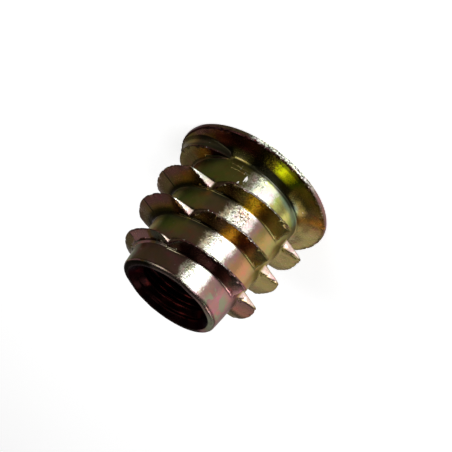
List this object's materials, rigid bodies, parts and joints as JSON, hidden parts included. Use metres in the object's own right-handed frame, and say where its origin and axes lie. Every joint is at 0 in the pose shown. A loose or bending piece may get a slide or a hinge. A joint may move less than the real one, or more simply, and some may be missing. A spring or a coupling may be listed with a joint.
{
  "type": "threaded insert",
  "caption": "Flanged die-cast insert nut with a coarse, notched outer thread for wood, an M8 threaded bore and a hexagonal drive socket in its flange.",
  "frame": {"origin": "centre of the flange's flat face, on the axis; the insert stands on this face with its tip up", "axes": "+Z along the axis from the flange to the tip; X lies in the die's parting plane, +X through the east tabs; -Y faces the front ridges"},
  "size_m": [0.0172, 0.0172, 0.015],
  "materials": {
    "chromated_zinc": "glossy yellow-chromated zinc die-casting, iridescent olive bronze"
  },
  "bodies": {
    "root": {"insert": "chromated_zinc"}
  },
  "joints": []
}
